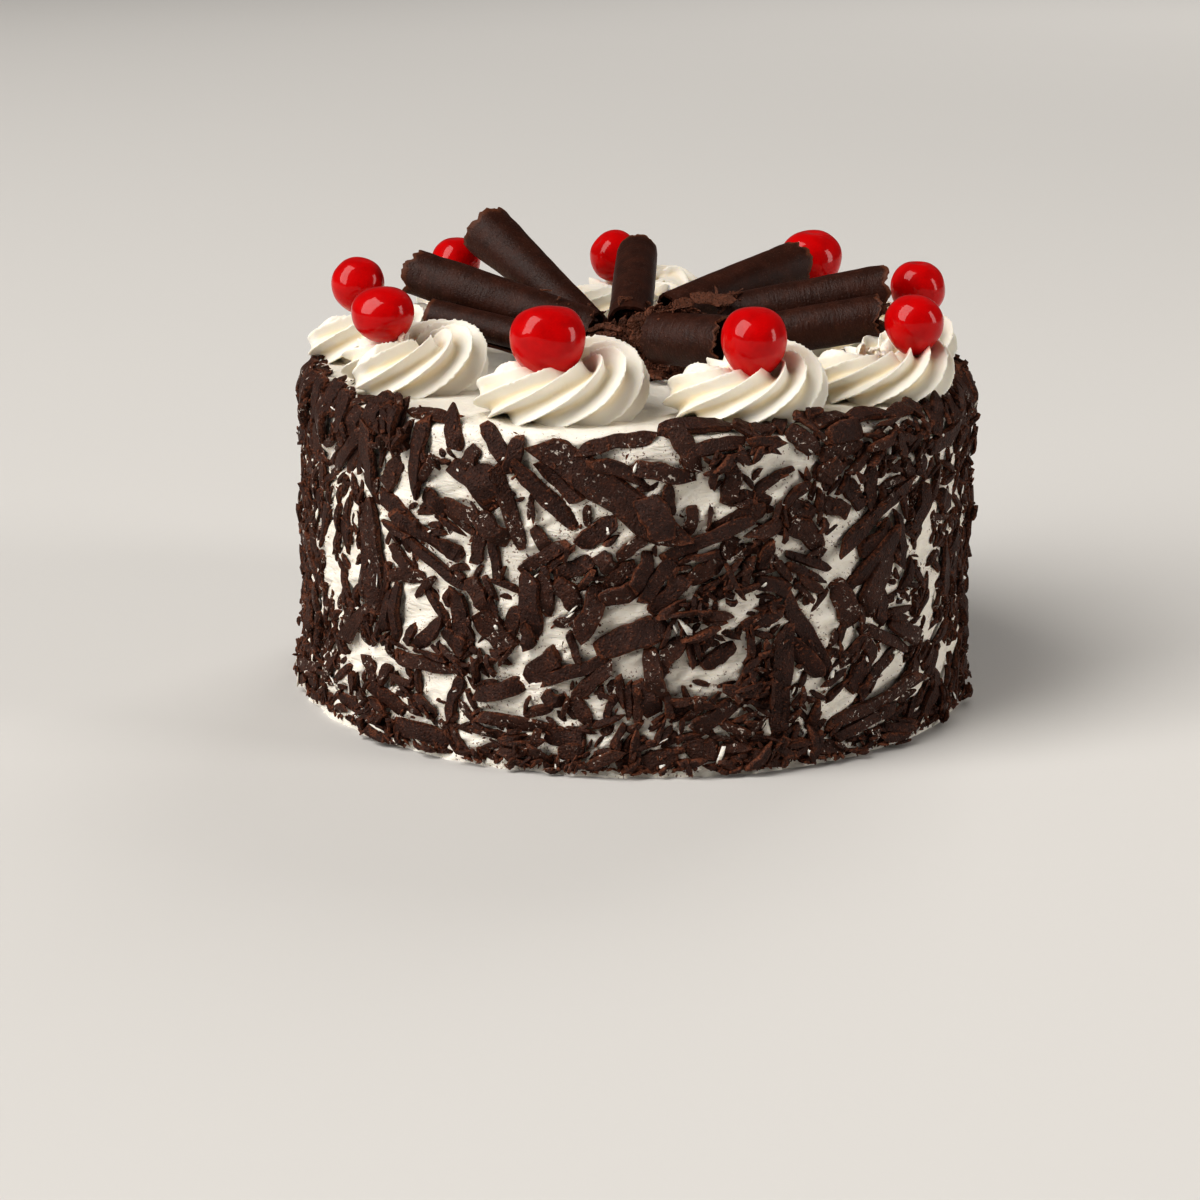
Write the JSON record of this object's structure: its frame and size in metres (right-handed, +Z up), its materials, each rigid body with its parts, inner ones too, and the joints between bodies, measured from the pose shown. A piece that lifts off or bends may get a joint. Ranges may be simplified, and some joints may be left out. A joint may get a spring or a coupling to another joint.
{
  "type": "black forest cake",
  "caption": "Whole tall round cream cake in a coat of dark chocolate flakes, topped with piped cream swirls, glazed cherries and rolled chocolate curls; rests on its flat underside.",
  "frame": {"origin": "middle of the flat underside, on the surface the cake stands on", "axes": "+Z up along the cake's axis; -Y is the front, the side seen first; +X to the right of it"},
  "size_m": [0.228, 0.2276, 0.1472],
  "materials": {
    "flake_coating": "matte dark chocolate flakes pressed into whipped cream",
    "whipped_cream": "smooth whipped cream, warm white, soft sheen",
    "glazed_cherry": "glossy red glazed cherry",
    "dark_chocolate": "satin dark chocolate",
    "chocolate_shavings": "rough broken chocolate"
  },
  "bodies": {
    "root": {"cake_body": "flake_coating", "rosette_1": "whipped_cream", "rosette_2": "whipped_cream", "rosette_3": "whipped_cream", "rosette_4": "whipped_cream", "rosette_5": "whipped_cream", "rosette_6": "whipped_cream", "rosette_7": "whipped_cream", "rosette_8": "whipped_cream", "rosette_9": "whipped_cream", "cherry_1": "glazed_cherry", "cherry_2": "glazed_cherry", "cherry_3": "glazed_cherry", "cherry_4": "glazed_cherry", "cherry_5": "glazed_cherry", "cherry_6": "glazed_cherry", "cherry_7": "glazed_cherry", "cherry_8": "glazed_cherry", "cherry_9": "glazed_cherry", "curl_1": "dark_chocolate", "curl_2": "dark_chocolate", "curl_3": "dark_chocolate", "curl_4": "dark_chocolate", "curl_5": "dark_chocolate", "curl_6": "dark_chocolate", "curl_7": "dark_chocolate", "curl_8": "dark_chocolate", "shavings_heap": "chocolate_shavings"}
  },
  "joints": []
}
